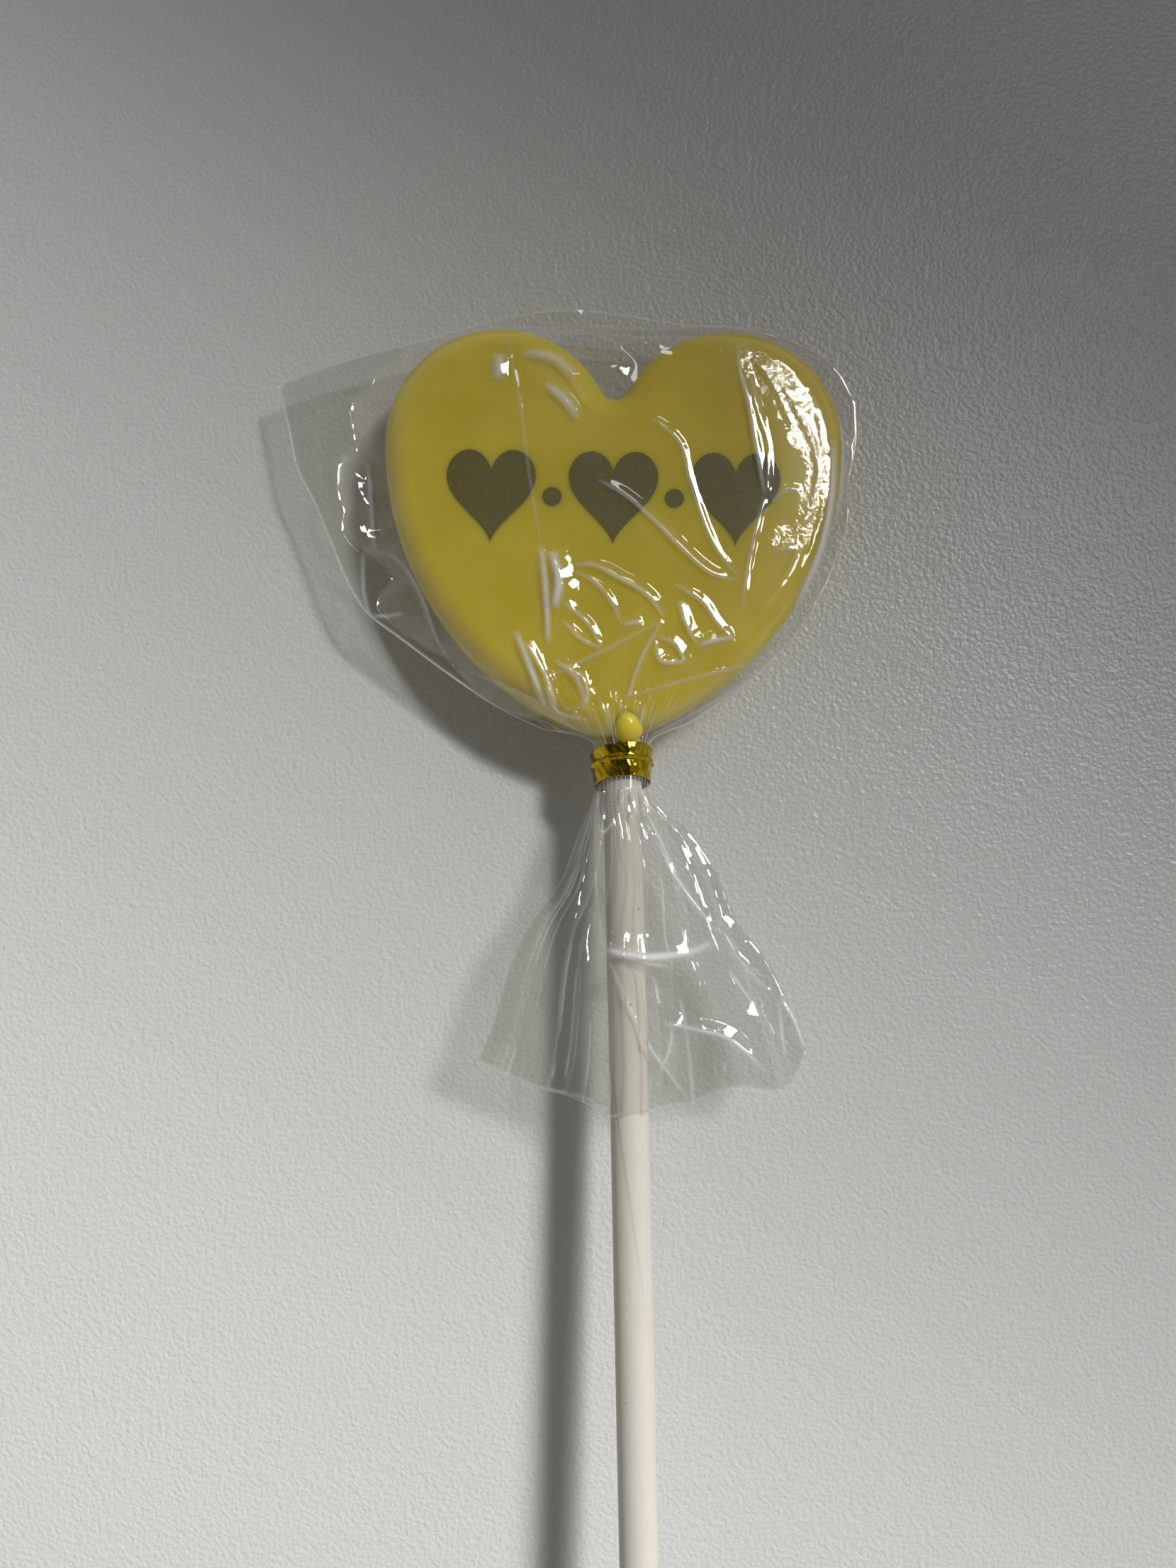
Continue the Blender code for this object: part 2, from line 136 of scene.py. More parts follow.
# Creases pressed into the front of the bag: the route, then the line's half-width and the
# ridge's height
FRONT_CREASES = (
    (((-12.4, 22.6), (-10.9, 14.1), (-10.0, 6.0), (-8.8, -2.4)), 0.35, 0.1),
    (((-8.8, -2.4), (-8.3, -8.0), (-8.2, -13.6)), 0.5, 0.45),
    (((-7.5, -3.0), (-6.8, -6.5), (-7.4, -9.6)), 0.8, 0.75),
    (((14.3, 20.7), (14.2, 18.4), (15.1, 13.9), (15.9, 8.1), (16.7, 3.0)), 0.35, 0.42),
    (((14.9, 20.4), (16.1, 13.5), (17.3, 8.0), (16.9, 3.0)), 0.25, 0.18),
    (((16.7, 3.0), (15.7, -0.4), (14.2, -7.2), (13.8, -9.9)), 0.3, 0.22),
    (((-2.2, 5.1), (0.8, 3.3), (4.2, 0.2), (7.5, -3.3), (10.8, -6.1), (13.5, -6.8)), 0.3, 0.32),
    (((3.7, 12.4), (7.4, 8.9), (8.0, 5.9), (9.3, 1.4), (11.2, -3.4), (13.8, -6.6)), 0.25, 0.22),
    (((-5.1, -4.7), (-3.4, -4.6), (-0.1, -6.2), (3.3, -8.4), (4.9, -10.8)), 0.35, 0.35),
    (((-5.1, -5.2), (-2.0, -7.4), (-0.6, -9.6), (0.2, -11.7)), 0.25, 0.22),
    (((0.2, -11.7), (2.5, -11.2)), 0.45, 0.3),
    (((-6.4, -8.9), (-3.6, -11.4), (-2.2, -14.0)), 0.25, 0.25),
    (((-6.5, -10.9), (-4.3, -13.2), (-2.2, -14.2)), 0.25, 0.25),
    (((-11.8, -12.0), (-10.1, -16.6), (-8.5, -21.0)), 0.5, 0.5),
    (((-10.6, -13.4), (-8.6, -17.0), (-7.4, -20.8)), 0.35, 0.35),
    (((-7.6, -15.4), (-5.6, -16.8), (-4.4, -19.2), (-4.2, -21.0)), 0.4, 0.35),
    (((-9.8, -17.9), (-1.7, -14.4), (4.8, -11.1)), 0.25, 0.16),
    (((4.8, -11.1), (2.2, -15.6), (0.4, -20.6)), 0.3, 0.24),
    (((6.1, -7.0), (7.4, -7.8), (9.4, -9.2), (11.0, -11.6), (12.8, -13.3)), 0.3, 0.26),
    (((6.7, -9.1), (7.4, -11.6), (8.6, -13.9)), 0.3, 0.32),
    (((8.6, -14.2), (10.4, -13.6), (12.8, -13.2)), 0.45, 0.42),
    (((3.9, -13.4), (4.4, -15.7), (7.0, -15.7), (6.2, -13.9), (4.2, -13.0)), 0.35, 0.3),
    (((0.4, -19.8), (5.8, -18.3), (11.4, -16.9), (18.5, -15.0)), 0.25, 0.16),
    (((17.4, -3.9), (19.0, -3.2), (20.6, -3.1)), 0.3, 0.25),
    (((17.5, 2.2), (19.4, 3.5), (21.0, 3.4)), 0.5, 0.25),
    (((14.5, 20.9), (17.7, 16.4), (20.1, 10.9)), 0.25, 0.16),
    (((-13.5, 16.9), (-13.2, 18.4), (-13.1, 20.0)), 1.0, 0.4),
    (((-8.0, 16.4), (-6.0, 14.6), (-4.3, 12.2)), 0.8, 0.35),
    (((-10.6, 20.0), (-7.2, 19.4), (-4.4, 16.8)), 0.9, 0.3),
    (CLINGING, 0.35, 0.2),
    (((24.8, 9.5), (24.6, 4.0), (23.2, -3.0), (20.2, -9.6)), 0.7, 0.5),
    (((26.0, 12.5), (26.3, 7.0), (25.4, 1.0)), 0.4, 0.4),
    (((-31.8, 10.4), (-32.1, 7.2), (-32.5, 4.0)), 0.4, 0.25),
    (((-28.9, 8.7), (-28.6, 6.0), (-28.2, -1.2), (-27.9, -2.6)), 0.35, 0.22),
    (((-29.9, -1.6), (-29.7, -7.0), (-28.8, -10.1)), 0.35, 0.25),
    (((-28.8, -10.1), (-23.6, -14.0), (-17.2, -18.9), (-14.5, -20.6)), 0.35, 0.35),
    (((-29.9, -1.2), (-25.8, -2.7), (-23.5, -5.8), (-20.3, -13.8), (-16.9, -17.6)), 0.3, 0.2),
    (((-28.9, -9.0), (-27.0, -9.1), (-25.0, -9.0)), 0.35, 0.3),
    (((-8.5, -16.5), (-7.5, -21.0), (-3.8, -22.2)), 0.3, 0.3),
    (((-6.7, -16.5), (-4.5, -17.3), (-4.1, -20.3), (-5.6, -21.1)), 0.3, 0.25),
    (((3.2, -23.8), (9.7, -20.6), (20.0, -14.6)), 0.25, 0.2),
    (((-3.4, -24.4), (-9.7, -20.0), (-17.5, -15.9)), 0.25, 0.22),
    (((-1.9, -20.6), (-1.6, -22.4), (-0.9, -24.2)), 0.3, 0.2),
    (((2.6, -20.4), (2.1, -22.4), (1.3, -24.2)), 0.3, 0.2),
)

# Shares of the skirt's width at which one pleat ends and the next begins, and how many fine
# gathers there are across its neck
SKIRT_FOLDS = (0.0, 0.15, 0.27, 0.36, 0.42, 0.48, 0.55, 0.86, 1.0)
BACK_FOLDS = (0.0, 0.2, 0.33, 0.5, 0.66, 0.86, 1.0)
NECK_GATHERS = 17
# A pleat wider than this share lies flatter, and turns over no further than one of this share
WIDE_PLEAT = 0.11
# The skirt's length from the tie to the hem, and its film's least height over the plane that the
# heart's back lies in
SKIRT_LENGTH = 36
LEAST_HEIGHT = 0.15
# The bright arc across the skirt and the bright patch at its right. The film is pulled smooth
# along both, so the pleats sink this share of their height within this distance.
SKIRT_ARC = ((-2.7, -48.1), (-0.2, -48.7), (4.0, -49.1), (7.4, -48.8), (10.4, -47.7))
SKIRT_PATCH = ((11.6, -50.8), (13.0, -52.9), (14.4, -55.0))
SMOOTHED_SHARE = 0.85
SMOOTHED_REACH = 2.6
# Creases pressed into the front of the skirt, as above. The white lines along the bright arc and
# # patch add painted highlight to their reflections.
SKIRT_CREASES = (
    (SKIRT_ARC, 0.7, 0.75),
    (((10.2, -45.9), (11.5, -47.2), (12.5, -49.0)), 0.35, 0.6),
    (((-2.7, -48.1), (1.5, -49.6), (4.7, -50.3)), 0.4, 0.3),
    (((3.3, -35.2), (5.6, -39.7), (8.3, -43.7), (10.8, -47.0)), 0.35, 0.5),
    (((10.6, -46.8), (13.8, -50.8), (16.6, -53.8)), 0.35, 0.2),
    (SKIRT_PATCH, 0.3, 0.8),
    (((4.2, -56.8), (8.1, -57.7), (11.0, -58.5), (13.7, -60.6), (15.6, -62.5)), 0.35, 0.45),
    (((5.0, -57.3), (4.6, -60.0), (3.5, -62.1)), 0.3, 0.25),
    (((17.7, -54.2), (19.2, -57.0), (20.2, -60.1)), 0.45, 0.5),
    (((17.4, -54.6), (17.6, -58.0), (18.0, -61.0)), 0.35, 0.4),
    (((-3.2, -30.0), (-3.2, -43.5), (-2.7, -48.3)), 0.25, 0.25),
    (((-2.1, -49.2), (2.4, -59.2), (6.9, -65.8)), 0.25, 0.22),
    (((-3.2, -33.9), (-2.7, -34.9), (-1.0, -33.7)), 0.25, 0.25),
    (((1.2, -29.8), (1.4, -31.6), (0.9, -33.7)), 0.4, 0.35),
    (((0.2, -29.4), (0.0, -31.0), (-0.6, -32.6)), 0.3, 0.25),
    (((2.3, -32.3), (4.3, -36.2), (5.6, -39.2)), 0.3, 0.3),
    (((-2.6, -29.4), (-2.9, -31.5), (-3.0, -34.0)), 0.35, 0.3),
    (((1.9, -29.6), (2.6, -31.2), (3.2, -33.0)), 0.3, 0.3),
)

# The light, in metres, watts and degrees: the spot that every light faces, a window with its
# bearing and elevation, a board that shades part of it, cards that only glossy surfaces mirror,
# each with its bearing and power, and the strength of the room's own glow
LIT_SPOT = (-0.002, -0.01, 0.005)
WINDOW_HEADING = (34, 49)
WINDOW_DISTANCE = 3.0
WINDOW_SIZE = (0.6, 0.5)
WINDOW_POWER = 116.0
FLAG_DISTANCE = 0.6
FLAG_TURN = 18.5
FLAG_EDGE = 0.02
FLAG_REACH = 0.6
CARD_ELEVATION = 55
CARD_DISTANCE = 1.0
CARD_SIZE = (0.1, 0.09)
CARDS = ((5, 0.5), (27, 0.5), (50, 0.5), (72, 0.12))
ROOM_AT_EYE_LEVEL = 0.46
ROOM_OVERHEAD = 0.03
# In millimetres: the floor's reach each way, and the place that the photograph's middle shows
FLOOR_REACH = 1500
PHOTO_MIDDLE = (-4.0, -29.2)


def linear(code):
    """Linear red, green and blue of an sRGB colour written as six hex digits."""
    parts = [int(code[i:i + 2], 16) / 255 for i in (0, 2, 4)]
    return [c / 12.92 if c <= 0.04045 else ((c + 0.055) / 1.055) ** 2.4 for c in parts]


def colour_setting(name, description, code):
    """A colour that the panel shows."""
    return FloatVectorProperty(name=name, description=description, default=linear(code), subtype="COLOR",
                               min=0.0, max=1.0)


def length_setting(name, description, default):
    """A length in metres that the panel shows."""
    return FloatProperty(name=name, description=description, default=default, unit="LENGTH")


def share_setting(name, description, default, most=1.0):
    """A share that the panel shows."""
    return FloatProperty(name=name, description=description, default=default, min=0.0, max=most)


def angle_setting(name, description, default):
    """An angle in radians that the panel shows."""
    return FloatProperty(name=name, description=description, default=default, subtype="ANGLE")


class CandySettings(bpy.types.PropertyGroup):
    """What a user would change on the candy and its print."""
    candy: colour_setting("Candy", "Colour of the candy", "D7C234")
    pale: colour_setting("Candy, paler", "Colour of the paler clouds in the candy", "E0CD46")
    ink: colour_setting("Ink", "Colour of the printed shapes", "6C6330")
    roughness: share_setting("Roughness", "How dull the waxy skin is", 0.3)
    print_width: length_setting("Print width", "Width of the printed row", 0.038)
    print_height: length_setting("Print height", "Height of the printed hearts", 0.0108)
    print_count: IntProperty(name="Hearts", description="Hearts in the printed row", default=3, min=1)


class FilmSettings(bpy.types.PropertyGroup):
    """What a user would change on the bag."""
    tint: colour_setting("Film", "Colour that the film gives what is behind it", "FAFAF8")
    roughness: share_setting("Roughness", "How blurred the film's reflections are", 0.02)
    slack: length_setting("Slack", "Height of the film's soft waves", 0.0001)
    gathers: length_setting("Gathers", "Depth of the gathers at the neck", 0.00045)
    overlap: share_setting("Overlap", "How far the skirt's pleats turn over", 0.22, most=0.4)


class TieSettings(bpy.types.PropertyGroup):
    """What a user would change on the gold band."""
    gold: colour_setting("Band", "Colour of the metallised band", "C8AE2C")
    roughness: share_setting("Roughness", "How blurred the band's reflections are", 0.12)
    crinkle: length_setting("Crinkle", "Depth of the band's dents", 0.00007)


class StickSettings(bpy.types.PropertyGroup):
    """What a user would change on the stick."""
    paper: colour_setting("Paper", "Colour of the paper", "CFCABE")
    fibre: colour_setting("Fibre", "Colour of the darker fibres", "CCC6BA")


class StageSettings(bpy.types.PropertyGroup):
    """What a user would change on the floor, the light and the camera."""
    floor: colour_setting("Floor", "Colour of the floor", "D2D2CF")
    floor_slope: angle_setting("Floor slope", "How the floor falls away below the stick", math.radians(3.5))
    height: length_setting("Camera height", "Camera above the stick's middle", 0.137)
    tilt: angle_setting("Tilt", "Camera's lean from straight down", math.radians(3.0))
    roll: angle_setting("Roll", "Turn of the picture", math.atan(0.02))


def arc(centre, radius, start, end, steps):
    """Points along an arc, without its last one, by angles in degrees."""
    angles = np.radians(np.linspace(start, end, steps, endpoint=False))
    return np.column_stack((centre[0] + radius * np.cos(angles), centre[1] + radius * np.sin(angles)))


def tip_and_notch(grow=0.0):
    """Heights of the centres of the arcs that round the heart's tip and its notch."""
    tip = max(TIP_RADIUS + grow, 0.05)
    tip_y = LOBE_Y - math.sqrt((FLANK_RADIUS + grow - tip) ** 2 - FLANK_X ** 2)
    notch_y = LOBE_Y + math.sqrt((LOBE_RADIUS + NOTCH_RADIUS) ** 2 - LOBE_RADIUS ** 2)
    return tip_y, notch_y


def placed(x, y):
    """From the heart's own axes to the frame's: turned a little and moved sideways."""
    cosine, sine = math.cos(HEART_TURN), math.sin(HEART_TURN)
    return HEART_X + x * cosine - y * sine, x * sine + y * cosine


def heart_outline(grow):
    """The heart's outline moved out by grow: the same arcs, with each radius longer or shorter."""
    tip_y, notch_y = tip_and_notch(grow)
    tip_angle = math.degrees(math.atan2(tip_y - LOBE_Y, -FLANK_X))
    notch_angle = math.degrees(math.atan2(notch_y - LOBE_Y, LOBE_RADIUS))
    right = np.vstack((
        arc((0, tip_y), max(TIP_RADIUS + grow, 0.05), -90, tip_angle, 8),
        arc((FLANK_X, LOBE_Y), FLANK_RADIUS + grow, tip_angle, 0, 48),
        arc((LOBE_RADIUS, LOBE_Y), LOBE_RADIUS + grow, 0, 180 - notch_angle, 56),
        arc((0, notch_y), NOTCH_RADIUS - grow, -notch_angle, -90, 10),
        [(0, notch_y - NOTCH_RADIUS + grow)],
    ))
    loop = np.vstack((right, right[-2:0:-1] * (-1, 1)))
    return np.column_stack(placed(loop[:, 0], loop[:, 1]))


def inside_distance(x, y, spanned=False):
    """How far a point lies inside the heart's outline: an arc's radius less the way to its centre.

    With spanned, the notch is bridged by a straight line from lobe to lobe.
    """
    cosine, sine = math.cos(-HEART_TURN), math.sin(-HEART_TURN)
    x, y = (x - HEART_X) * cosine - y * sine, (x - HEART_X) * sine + y * cosine
    x = np.abs(x)
    tip_y, notch_y = tip_and_notch()
    flank = FLANK_RADIUS - np.hypot(x - FLANK_X, y - LOBE_Y)
    lobe = LOBE_RADIUS - np.hypot(x - LOBE_RADIUS, y - LOBE_Y)
    notch = np.hypot(x, y - notch_y) - NOTCH_RADIUS
    tip = TIP_RADIUS - np.hypot(x, y - tip_y)
    in_tip = (y < tip_y) & (x * (LOBE_Y - tip_y) < -FLANK_X * (tip_y - y))
    below = np.where(in_tip, tip, flank)
    if spanned:
        top = np.where(x < LOBE_RADIUS, LOBE_Y + LOBE_RADIUS - y, lobe)
        return np.where(y > LOBE_Y, top, below)
    in_lobe = (y > LOBE_Y) & (y > notch_y - x * (notch_y - LOBE_Y) / LOBE_RADIUS)
    return np.where(in_lobe, lobe, np.minimum(below, notch))


def candy_swell(x, y):
    """The candy's faint undulation, as poured and cooled, which dies away to the level middle."""
    level = np.clip((inside_distance(x, y) - RIM_WIDTH) / CROWN_WIDTH, 0, 1)
    return 0.03 * (1 - level) * waves(x, y, 3, 6, 5.0, 18.0)


def candy_rise(x, y):
    """Height of the candy above its mid-plane: a quarter oval in from the outline, then the crown."""
    depth = inside_distance(x, y)
    share = 1 - np.clip(depth, 0, RIM_WIDTH) / RIM_WIDTH
    return WALL - CROWN + RIM_RISE * np.sqrt(1 - share ** 2) + crown(depth) + candy_swell(x, y)


def crown(depth):
    """How far the front rises from its rounded edge inward: half a parabola, then level."""
    share = np.clip((depth - RIM_WIDTH) / CROWN_WIDTH, 0, 1)
    return CROWN * (1 - (1 - share) ** 2)


def through(points, count):
    """Evenly spaced points on a smooth curve through the given ones, by Hermite pieces."""
    points = np.array(points, dtype=float)
    along = np.concatenate(([0.0], np.cumsum(np.hypot(*np.diff(points, axis=0).T))))
    slopes = np.gradient(points, along, axis=0)
    at = np.linspace(0, along[-1], count)
    piece = np.clip(np.searchsorted(along, at, side="right") - 1, 0, len(points) - 2)
    span = (along[piece + 1] - along[piece])[:, None]
    t = (at[:, None] - along[piece][:, None]) / span
    start, end = points[piece], points[piece + 1]
    leaving, arriving = span * slopes[piece], span * slopes[piece + 1]
    return ((2 * t ** 3 - 3 * t ** 2 + 1) * start + (t ** 3 - 2 * t ** 2 + t) * leaving
            + (3 * t ** 2 - 2 * t ** 3) * end + (t ** 3 - t ** 2) * arriving)


def rows_at(line, shares):
    """Points at the given shares of the way along an evenly spaced line."""
    steps = np.linspace(0, 1, len(line))
    return np.column_stack([np.interp(shares, steps, line[:, k]) for k in (0, 1)])


def way_to_line(x, y, line):
    """The way from each point to the nearest stretch of a line, and how far along the line that is."""
    shape = np.shape(x)
    points = np.column_stack((np.ravel(x), np.ravel(y)))
    best = np.full(len(points), 1e9)
    where = np.zeros(len(points))
    for i, (start, end) in enumerate(zip(line[:-1], line[1:])):
        run = end - start
        share = np.clip(((points - start) @ run) / (run @ run), 0, 1)
        way = np.hypot(*(points - start - share[:, None] * run).T)
        nearer = way < best
        best[nearer] = way[nearer]
        where[nearer] = (i + share[nearer]) / (len(line) - 1)
    return best.reshape(shape), where.reshape(shape)


def ridges(x, y, creases):
    """Height of pressed creases, and how near the eye finds a crease's white line, from 0 to 1.
    That line is partly the film's own whitening and partly painted highlight.

    Each stands like a tent along its route, with straight flanks that are wider under a higher
    ridge and a slightly rounded top, and dies away at both ends.
    """
    height = np.zeros(np.shape(x))
    lines = np.zeros(np.shape(x))
    for route, width, rise in creases:
        line = through(route, 4 * len(route))
        flank = max(FLANK_LENGTH * rise, width)
        low, high = line.min(axis=0) - flank, line.max(axis=0) + flank
        near = (x > low[0]) & (x < high[0]) & (y > low[1]) & (y < high[1])
        if not near.any():
            continue
        way, along = way_to_line(x[near], y[near], line)
        fade = np.sqrt(np.clip(4 * along * (1 - along), 0, 1))
        height[near] += rise * fade * np.clip(1 - np.hypot(way, 0.08) / flank, 0, 1)
        # A higher ridge gets a stronger white line: partly whitening of the sharper fold, partly painted
        # highlight where its flank would catch the light
        sharp = min(rise / 0.5, 1)
        broad = LINE_WIDTH * max(width / 0.35, 1)
        lines[near] = np.maximum(lines[near], sharp * fade * np.exp(-(way / broad) ** 2))
    return height, lines


def waves(x, y, seed, count, shortest, longest):
    """Soft uneven waves: sines across seeded directions, from shortest to longest wavelength."""
    draw = np.random.default_rng(seed)
    total = 0.0 * (x + y)
    for length in np.geomspace(shortest, longest, count):
        angle, phase = draw.uniform(0, 2 * math.pi, 2)
        bend = draw.uniform(0, 2 * math.pi)
        across = (x * math.cos(angle) + y * math.sin(angle)) * 2 * math.pi / length
        along = (y * math.cos(angle) - x * math.sin(angle)) * 2 * math.pi / (2.3 * length)
        total += np.sin(across + 1.4 * np.sin(along + bend) + phase) * length / longest
    return total


def crumple(x, y, seed):
    """Flat facets with straight folds between them, as in film that was creased and pulled out."""
    draw = np.random.default_rng(seed)
    total = 0.0 * (x + y)
    for length in (4.0, 6.5, 9.0, 13.0):
        angle, phase, bend = draw.uniform(0, 2 * math.pi, 3)
        across = (x * math.cos(angle) + y * math.sin(angle)) * 2 * math.pi / length
        total += 0.014 * length * zigzag(across + 0.8 * np.sin(0.3 * across + bend) + phase)
    return total


def turn_outward(mesh, bridged=False):
    """Turns a mesh's faces outward, after its two open ends are joined to each other when asked."""
    worked = bmesh.new()
    worked.from_mesh(mesh)
    if bridged:
        ends = [edge for edge in worked.edges if edge.is_boundary]
        bmesh.ops.bridge_loops(worked, edges=ends)
    bmesh.ops.recalc_face_normals(worked, faces=worked.faces)
    worked.to_mesh(mesh)
    worked.free()


def placed_object(name, data):
    """A mesh, a light or a camera as an object in the scene."""
    thing = bpy.data.objects.new(name, data)
    bpy.context.scene.collection.objects.link(thing)
    return thing


def skin(name, points, around=False, caps=False, flip=False):
    """A mesh over a grid of points in millimetres, closed round and at its ends when asked."""
    rows, columns = points.shape[:2]
    index = np.arange(rows * columns).reshape(rows, columns)
    vertices = points.reshape(-1, 3)
    if around:
        index = np.hstack((index, index[:, :1]))
    corners = (index[:-1, :-1], index[:-1, 1:], index[1:, 1:], index[1:, :-1])
    quads = np.stack(corners, axis=-1).reshape(-1, 4)
    if flip:
        quads = quads[:, ::-1]
    faces = quads.tolist()
    if caps:
        faces += [index[0, -2::-1].tolist(), index[-1, :-1].tolist()]
    mesh = bpy.data.meshes.new(name)
    mesh.from_pydata(vertices * MM, [], faces)
    if around:
        turn_outward(mesh)
    mesh.shade_smooth()
    return placed_object(name, mesh)


def dress(thing, material, slot, *nodes):
    """Gives a piece its finish and its place in the frame, and hides the nodes that it stands for."""
    thing.data.materials.append(material)
    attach(thing, "root")
    if nodes:
        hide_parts(*nodes)


def new_material(name):
    """An empty material, its node tree and the place on the piece that its patterns read."""
    material = bpy.data.materials.new(name)
    material.use_nodes = True
    material.node_tree.nodes.clear()
    return material, material.node_tree, add(material.node_tree, "TexCoord").outputs["Object"]


def finished(material, shader):
    """The material with this shader as its surface."""
    add(material.node_tree, "OutputMaterial", {"Surface": shader.outputs[0]})
    return material


def add(tree, kind, inputs=None, **settings):
    """One node with its settings; an input takes a value or another node's output socket."""
    made = tree.nodes.new("ShaderNode" + kind)
    for key, value in settings.items():
        setattr(made, key, value)
    for key, value in (inputs or {}).items():
        if isinstance(value, bpy.types.NodeSocket):
            tree.links.new(value, made.inputs[key])
        else:
            made.inputs[key].default_value = value
    return made


def ramp(tree, factor, low, high, start, end):
    """A colour that goes from start to end as the factor goes from low to high."""
    made = add(tree, "MapRange", {"Value": factor, "From Min": low, "From Max": high})
    mixed = {0: made.outputs[0], 6: (*start, 1), 7: (*end, 1)}
    return add(tree, "Mix", mixed, data_type="RGBA").outputs[2]


def noise(tree, place, size, detail):
    """An uneven pattern whose clouds or grains are about size millimetres across."""
    clouds = {"Vector": place, "Scale": 1 / (size * MM), "Detail": detail}
    return add(tree, "TexNoise", clouds).outputs["Fac"]


def relief(tree, pattern, strength, depth):
    """A pattern as relief for the light, depth millimetres deep."""
    shape = {"Height": pattern, "Strength": strength, "Distance": depth * MM}
    return add(tree, "Bump", shape).outputs[0]


def candy_material(settings):
    """Coloured fat-based candy, poured in a polished mould: even colour, faint clouds, waxy skin."""
    material, tree, place = new_material("moulded candy")
    colour = ramp(tree, noise(tree, place, 9.0, 3.0), 0.35, 0.7, settings.candy, settings.pale)
    grain = relief(tree, noise(tree, place, 0.35, 2.0), 0.35, 0.02)
    shader = add(tree, "BsdfPrincipled", {
        "Base Color": colour, "Roughness": settings.roughness, "IOR": 1.45, "Normal": grain,
        "Subsurface Weight": 1.0, "Subsurface Radius": (1.0, 0.7, 0.15), "Subsurface Scale": 3.0 * MM,
    })
    return finished(material, shader)


def ink_material(settings):
    """Food ink pressed on from a sheet: dark olive, slightly patchy, with the candy's grain in it."""
    material, tree, place = new_material("printed food ink")
    specks = noise(tree, place, 0.4, 4.0)
    thin = [0.8 * dark + 0.2 * light for dark, light in zip(settings.ink, settings.candy)]
    colour = ramp(tree, specks, 0.55, 0.8, settings.ink, thin)
    shader = add(tree, "BsdfPrincipled", {
        "Base Color": colour, "Roughness": 0.38, "IOR": 1.45, "Normal": relief(tree, specks, 0.4, 0.02),
    })
    return finished(material, shader)


def paper_material(settings):
    """Paper rolled tight round itself: matt, with long fibres and a few specks."""
    material, tree, place = new_material("rolled paper")
    stretched = add(tree, "Mapping", {"Vector": place, "Scale": (1.0, 0.12, 1.0)})
    fibres = noise(tree, stretched.outputs[0], 0.35, 4.0)
    colour = ramp(tree, fibres, 0.4, 0.75, settings.paper, settings.fibre)
    dots = add(tree, "MapRange", {
        "Value": noise(tree, place, 0.9, 0.0), "From Min": 0.83, "From Max": 0.86,
    })
    flecked = add(tree, "Mix", {0: dots.outputs[0], 6: colour, 7: (*FLECK, 1)}, data_type="RGBA")
    shader = add(tree, "BsdfPrincipled", {
        "Base Color": flecked.outputs[2], "Roughness": 0.72, "Normal": relief(tree, fibres, 0.3, 0.015),
    })
    return finished(material, shader)


def gold_material(settings):
    """Gold-lacquered metallised film, wound tight: a mirror with small dents and warm deep tones."""
    material, tree, place = new_material("gold metallised film")
    dents = noise(tree, place, 1.1, 2.0)
    deep = [c * share for c, share in zip(settings.gold, (0.72, 0.6, 0.35))]
    colour = ramp(tree, dents, 0.35, 0.7, settings.gold, deep)
    shader = add(tree, "BsdfPrincipled", {
        "Base Color": colour, "Metallic": 1.0, "Roughness": settings.roughness,
        "Normal": relief(tree, dents, 0.5, 0.12),
    })
    return finished(material, shader)


def film_material(settings):
    """Clear cellulose film, both faces in one sheet: see-through, mirror-like where it is seen
    aslant, matt white along sharp folds, partly the film's own whitening and partly painted
    highlight, and grained where it clings to the candy.
    """
    material, tree, place = new_material("clear wrapping film")
    facing = add(tree, "LayerWeight", {"Blend": 0.5}).outputs["Facing"]
    steep = add(tree, "Math", {0: facing, 1: 5.0}, operation="POWER").outputs[0]
    share = add(tree, "Math", {0: steep, 1: 0.9, 2: 0.085}, operation="MULTIPLY_ADD").outputs[0]
    clear = add(tree, "BsdfTransparent", {"Color": (*settings.tint, 1)})
    haze = add(tree, "BsdfDiffuse", {"Color": (0.8, 0.8, 0.8, 1)})
    fold = add(tree, "Attribute", attribute_name="fold").outputs["Fac"]
    # The fold lines mix in matt white: the film's own whitening at sharp folds and edges, and painted
    # highlight along the creases that catch the light
    whitening_and_painted_highlight = add(tree, "Math", {0: fold, 1: 0.85, 2: 0.012}, operation="MULTIPLY_ADD").outputs[0]
    hazy = add(tree, "MixShader", {0: whitening_and_painted_highlight, 1: clear.outputs[0], 2: haze.outputs[0]})
    cling = add(tree, "Attribute", attribute_name="cling").outputs["Fac"]
    grain = relief(tree, noise(tree, place, 0.8, 4.0), cling, 0.28)
    gloss = add(tree, "BsdfGlossy", {
        "Color": (1, 1, 1, 1), "Roughness": settings.roughness, "Normal": grain,
    })
    mix = add(tree, "MixShader", {0: share, 1: hazy.outputs[0], 2: gloss.outputs[0]})
    return finished(material, mix)


